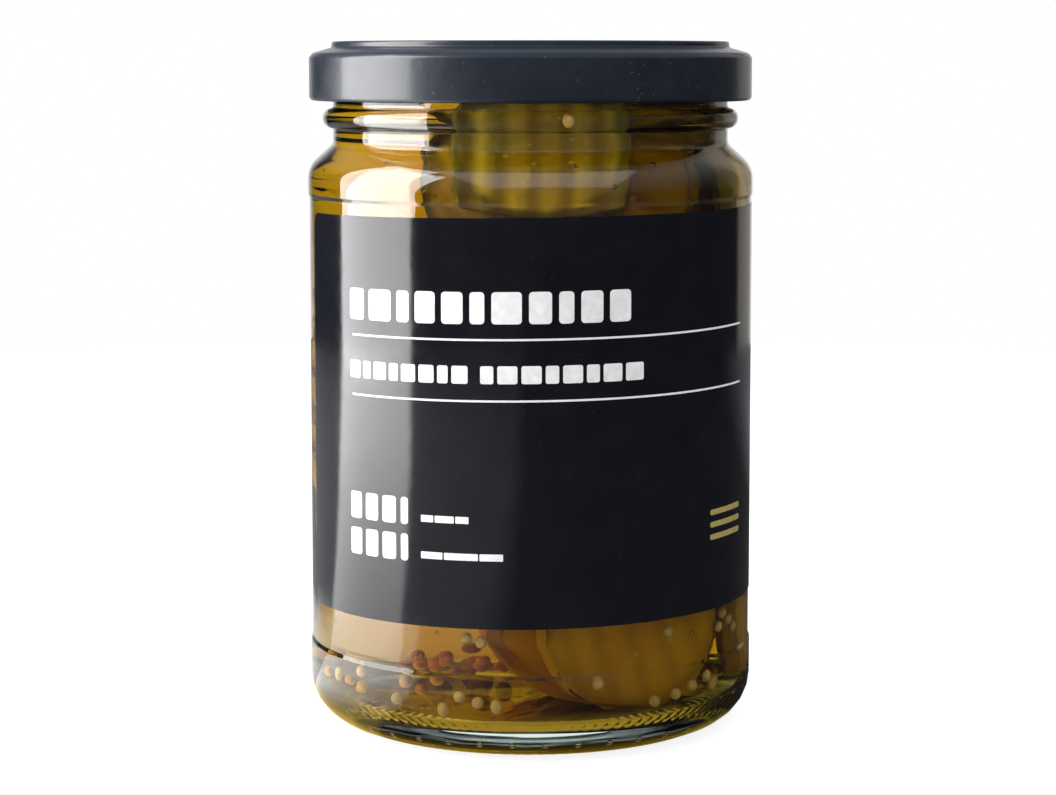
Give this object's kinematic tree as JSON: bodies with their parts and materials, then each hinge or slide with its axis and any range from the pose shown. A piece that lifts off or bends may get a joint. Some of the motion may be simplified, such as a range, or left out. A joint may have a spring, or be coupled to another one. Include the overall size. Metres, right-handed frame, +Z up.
{
  "type": "pickle jar",
  "caption": "Closed cylindrical glass jar of sliced pickled gherkins in brine, with a dark twist-off lid and a dark wrap label.",
  "frame": {"origin": "centre of the bearing ring that the jar stands on, at the bottom centre of its box", "axes": "+Z up along the jar's axis, the front of the label faces -Y, +X to the right seen from the front"},
  "size_m": [0.074, 0.074, 0.1134],
  "materials": {
    "glass": "clear flint glass",
    "lid_enamel": "satin enamel on tinplate",
    "brine": "clear amber liquid",
    "label_film": "glossy varnished film",
    "label_print": "printed ink under varnish",
    "gherkin": "wet vegetable",
    "spice": "wet seed coat"
  },
  "bodies": {
    "root": {"jar": "glass", "lid": "lid_enamel", "brine": "brine", "label": "label_film"}
  },
  "joints": []
}
